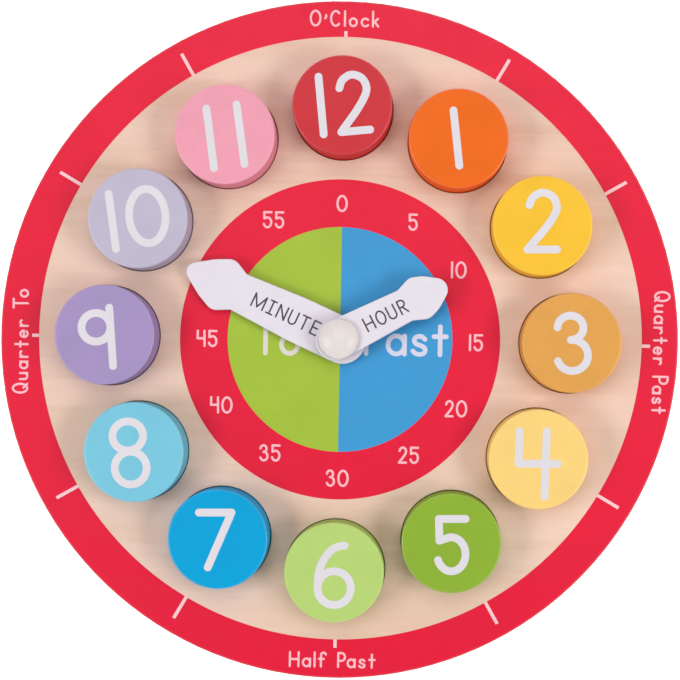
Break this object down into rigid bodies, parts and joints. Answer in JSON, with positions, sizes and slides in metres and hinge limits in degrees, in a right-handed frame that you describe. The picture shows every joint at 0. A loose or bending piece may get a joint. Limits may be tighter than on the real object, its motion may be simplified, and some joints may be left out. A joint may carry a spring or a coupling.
{
  "type": "wooden teaching clock",
  "caption": "Round wooden teaching clock with loose round number blocks in pockets, printed rings, and two hands that turn by hand on a central pivot.",
  "frame": {"origin": "centre of the flat back face, which lies on the table", "axes": "+Z out of the clock's face, +Y towards twelve o'clock, +X towards three o'clock"},
  "size_m": [0.29, 0.29, 0.0243],
  "materials": {
    "board_wood": "satin clear lacquer on pale plywood",
    "hand_white": "satin white paint on thin wood",
    "cap_cream": "gloss",
    "washer_nylon": "matte",
    "zinc_steel": "bright zinc plate",
    "block_orange": "satin paint on turned wood",
    "block_yellow": "satin paint on turned wood",
    "block_ochre": "satin paint on turned wood",
    "block_pale_yellow": "satin paint on turned wood",
    "block_green": "satin paint on turned wood",
    "block_lime": "satin paint on turned wood",
    "block_blue": "satin paint on turned wood",
    "block_sky_blue": "satin paint on turned wood",
    "block_violet": "satin paint on turned wood",
    "block_lavender": "satin paint on turned wood",
    "block_pink": "satin paint on turned wood",
    "block_crimson": "satin paint on turned wood",
    "print_red": "thin satin screen print on wood",
    "print_green": "thin satin screen print on wood",
    "print_blue": "thin satin screen print on wood",
    "print_white": "thin satin screen print on wood",
    "print_dark": "thin satin screen print on wood"
  },
  "bodies": {
    "board": {"face_panel": "board_wood", "backing_board": "board_wood", "lower_washer": "washer_nylon", "middle_washer": "washer_nylon", "upper_washer": "washer_nylon", "pivot_bolt": "zinc_steel", "pivot_cap": "cap_cream", "back_washer": "zinc_steel", "lock_nut": "zinc_steel"},
    "number_block_1": {"number_block_1": "block_orange"},
    "number_block_2": {"number_block_2": "block_yellow"},
    "number_block_3": {"number_block_3": "block_ochre"},
    "number_block_4": {"number_block_4": "block_pale_yellow"},
    "number_block_5": {"number_block_5": "block_green"},
    "number_block_6": {"number_block_6": "block_lime"},
    "number_block_7": {"number_block_7": "block_blue"},
    "number_block_8": {"number_block_8": "block_sky_blue"},
    "number_block_9": {"number_block_9": "block_violet"},
    "number_block_10": {"number_block_10": "block_lavender"},
    "number_block_11": {"number_block_11": "block_pink"},
    "number_block_12": {"number_block_12": "block_crimson"},
    "minute_hand": {"minute_hand": "hand_white"},
    "hour_hand": {"hour_hand": "hand_white"}
  },
  "joints": [
    {"name": "number_block_1_lift", "type": "slide", "parent": "board", "child": "number_block_1", "axis": [0, 0, 1], "range_m": [0, 0.025]},
    {"name": "number_block_2_lift", "type": "slide", "parent": "board", "child": "number_block_2", "axis": [0, 0, 1], "range_m": [0, 0.025]},
    {"name": "number_block_3_lift", "type": "slide", "parent": "board", "child": "number_block_3", "axis": [0, 0, 1], "range_m": [0, 0.025]},
    {"name": "number_block_4_lift", "type": "slide", "parent": "board", "child": "number_block_4", "axis": [0, 0, 1], "range_m": [0, 0.025]},
    {"name": "number_block_5_lift", "type": "slide", "parent": "board", "child": "number_block_5", "axis": [0, 0, 1], "range_m": [0, 0.025]},
    {"name": "number_block_6_lift", "type": "slide", "parent": "board", "child": "number_block_6", "axis": [0, 0, 1], "range_m": [0, 0.025]},
    {"name": "number_block_7_lift", "type": "slide", "parent": "board", "child": "number_block_7", "axis": [0, 0, 1], "range_m": [0, 0.025]},
    {"name": "number_block_8_lift", "type": "slide", "parent": "board", "child": "number_block_8", "axis": [0, 0, 1], "range_m": [0, 0.025]},
    {"name": "number_block_9_lift", "type": "slide", "parent": "board", "child": "number_block_9", "axis": [0, 0, 1], "range_m": [0, 0.025]},
    {"name": "number_block_10_lift", "type": "slide", "parent": "board", "child": "number_block_10", "axis": [0, 0, 1], "range_m": [0, 0.025]},
    {"name": "number_block_11_lift", "type": "slide", "parent": "board", "child": "number_block_11", "axis": [0, 0, 1], "range_m": [0, 0.025]},
    {"name": "number_block_12_lift", "type": "slide", "parent": "board", "child": "number_block_12", "axis": [0, 0, 1], "range_m": [0, 0.025]},
    {"name": "minute_hand_turn", "type": "hinge", "parent": "board", "child": "minute_hand", "pos_m": [0, 0, 0.0128], "axis": [0, 0, 1], "continuous": true},
    {"name": "hour_hand_turn", "type": "hinge", "parent": "board", "child": "hour_hand", "pos_m": [0, 0, 0.0176], "axis": [0, 0, 1], "continuous": true}
  ]
}
